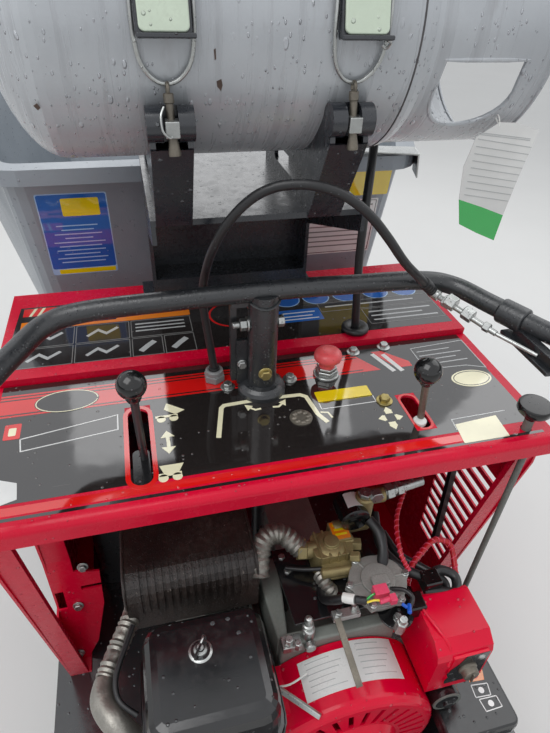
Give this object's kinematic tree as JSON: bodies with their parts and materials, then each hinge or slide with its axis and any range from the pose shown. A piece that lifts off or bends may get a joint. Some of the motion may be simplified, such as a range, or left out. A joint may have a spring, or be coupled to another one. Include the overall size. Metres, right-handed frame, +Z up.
{
  "type": "concrete power buggy",
  "caption": "Stand-on concrete power buggy with tipping tub, gas-fuelled engine, control panel, handlebar and gas cylinder.",
  "frame": {"origin": "on the ground, at the middle of the machine's length and width", "axes": "+X to the operator's right, +Y forward to the tub's pouring lip, +Z up"},
  "size_m": [1.2, 2.6, 1.6423],
  "materials": {
    "frame_black": "satin black paint",
    "red_paint": "gloss red paint",
    "panel_black": "gloss black film over red paint",
    "cylinder_grey": "semi-gloss grey paint",
    "brass": "dull",
    "zinc": "zinc plated",
    "rubber": "matt",
    "engine_grey": "cast, oily",
    "alloy": "cast",
    "engine_red": "gloss red paint",
    "black_plastic": "moulded, fine grain",
    "tub_plastic": "rotomoulded, charcoal",
    "tyre": "dusty",
    "heat_black": "heat-proof black, speckled",
    "bar_black": "textured black coat"
  },
  "bodies": {
    "chassis": {"main_frame": "frame_black", "deck": "frame_black", "console_panel": "red_paint", "hood_panel": "red_paint", "front_sheet": "red_paint", "side_panel_left": "red_paint", "side_panel_right": "red_paint", "hydraulic_tank": "frame_black", "tank_cradle": "frame_black", "gas_cylinder": "cylinder_grey", "cylinder_valve": "brass", "tank_straps": "zinc", "gas_hose": "rubber", "engine_block": "engine_grey", "cylinder_head": "engine_grey", "fan_cover": "engine_red", "air_cleaner": "black_plastic", "muffler": "heat_black", "gas_mixer": "frame_black", "control_box": "engine_red", "battery_box": "black_plastic", "hydraulic_pump": "alloy", "drive_axle": "frame_black", "rear_axle": "frame_black", "panel_controls": "black_plastic"},
    "tub": {"tub": "tub_plastic", "tub_frame": "frame_black"},
    "dump_barrel": {"dump_barrel": "frame_black"},
    "dump_rod": {"dump_rod": "zinc"},
    "steering": {"handlebar": "bar_black", "steering_column": "bar_black", "control_cable": "rubber"},
    "knuckle_left": {"knuckle_left": "frame_black"},
    "knuckle_right": {"knuckle_right": "frame_black"},
    "tie_rod": {"tie_rod": "zinc"},
    "drag_link": {"drag_link": "zinc"},
    "front_wheels_left": {"front_tyres_left": "tyre", "front_rims_left": "red_paint"},
    "front_wheels_right": {"front_tyres_right": "tyre", "front_rims_right": "red_paint"},
    "rear_wheel_left": {"rear_tyre_left": "tyre", "rear_rim_left": "red_paint"},
    "rear_wheel_right": {"rear_tyre_right": "tyre", "rear_rim_right": "red_paint"},
    "platform": {"operator_platform": "frame_black"}
  },
  "joints": [
    {"name": "tub_tip", "type": "hinge", "parent": "chassis", "child": "tub", "pos_m": [0, 0.87, 0.445], "axis": [-1, 0, 0], "range_deg": [0, 75]},
    {"name": "dump_barrel_swing", "type": "hinge", "parent": "chassis", "child": "dump_barrel", "pos_m": [0, 0.075, 0.34], "axis": [1, 0, 0], "range_deg": [0, 20.6]},
    {"name": "dump_rod_slide", "type": "slide", "parent": "dump_barrel", "child": "dump_rod", "axis": [0, 0.9867, 0.1627], "range_m": [0, 0.30562]},
    {"name": "steering", "type": "hinge", "parent": "chassis", "child": "steering", "pos_m": [0, -0.315, 1], "axis": [0, 0, 1], "range_deg": [-25, 25]},
    {"name": "knuckle_left_turn", "type": "hinge", "parent": "chassis", "child": "knuckle_left", "pos_m": [-0.23, -0.72, 0.155], "axis": [0, 0, 1], "range_deg": [-25, 25]},
    {"name": "knuckle_right_turn", "type": "hinge", "parent": "chassis", "child": "knuckle_right", "pos_m": [0.23, -0.72, 0.155], "axis": [0, 0, 1], "range_deg": [-25, 25]},
    {"name": "tie_rod_swing", "type": "hinge", "parent": "knuckle_left", "child": "tie_rod", "pos_m": [-0.23, -0.63, 0.121], "axis": [0, 0, 1], "range_deg": [-25, 25]},
    {"name": "drag_link_swing", "type": "hinge", "parent": "steering", "child": "drag_link", "pos_m": [0, -0.225, 0.121], "axis": [0, 0, 1], "range_deg": [-25, 25]},
    {"name": "front_wheels_left_roll", "type": "hinge", "parent": "chassis", "child": "front_wheels_left", "pos_m": [-0.45, 0.6, 0.232], "axis": [1, 0, 0], "continuous": true},
    {"name": "front_wheels_right_roll", "type": "hinge", "parent": "chassis", "child": "front_wheels_right", "pos_m": [0.45, 0.6, 0.232], "axis": [1, 0, 0], "continuous": true},
    {"name": "rear_wheel_left_roll", "type": "hinge", "parent": "knuckle_left", "child": "rear_wheel_left", "pos_m": [-0.3, -0.72, 0.155], "axis": [1, 0, 0], "continuous": true},
    {"name": "rear_wheel_right_roll", "type": "hinge", "parent": "knuckle_right", "child": "rear_wheel_right", "pos_m": [0.3, -0.72, 0.155], "axis": [1, 0, 0], "continuous": true},
    {"name": "platform_fold", "type": "hinge", "parent": "chassis", "child": "platform", "pos_m": [0, -0.995, 0.186], "axis": [-1, 0, 0], "range_deg": [0, 88]}
  ],
  "couplings": [
    {"joint": "dump_barrel_swing", "follows": "tub_tip", "ratio": 0.27448},
    {"joint": "dump_rod_slide", "follows": "tub_tip", "m_per_rad": 0.2334},
    {"joint": "knuckle_left_turn", "follows": "steering", "ratio": 1},
    {"joint": "knuckle_right_turn", "follows": "steering", "ratio": 1},
    {"joint": "tie_rod_swing", "follows": "steering", "ratio": -1},
    {"joint": "drag_link_swing", "follows": "steering", "ratio": -1}
  ]
}
